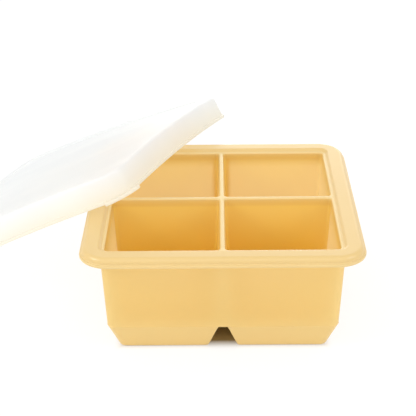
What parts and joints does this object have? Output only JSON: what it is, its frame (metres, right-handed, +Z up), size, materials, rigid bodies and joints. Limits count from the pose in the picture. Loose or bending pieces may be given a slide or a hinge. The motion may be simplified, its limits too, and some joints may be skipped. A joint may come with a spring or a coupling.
{
  "type": "baby food freezer tray",
  "caption": "Square soft freezer tray for baby food, with deep tapered cups under a broad rounded rim, and a shallow translucent cover with a corner pull tab leaning against it.",
  "frame": {"origin": "middle of the footprint of the tray and the leaning cover together, on the table", "axes": "+Z up; X and Y run along the tray's sides, with the cover leaning on the tray from -X and +Y, and -Y the side seen from the front"},
  "size_m": [0.2244, 0.2054, 0.0788],
  "materials": {
    "silicone": "satin moulded silicone rubber, pastel yellow",
    "wire": "plain drawn stainless wire",
    "cover": "translucent white moulded polypropylene, satin"
  },
  "bodies": {
    "tray": {"silicone_tray": "silicone", "rim_wire": "wire"},
    "lid": {"lid": "cover"}
  },
  "joints": [
    {"name": "lid_lift", "type": "slide", "parent": "tray", "child": "lid", "axis": [0, 0, 1], "range_m": [0, 0.1]}
  ]
}
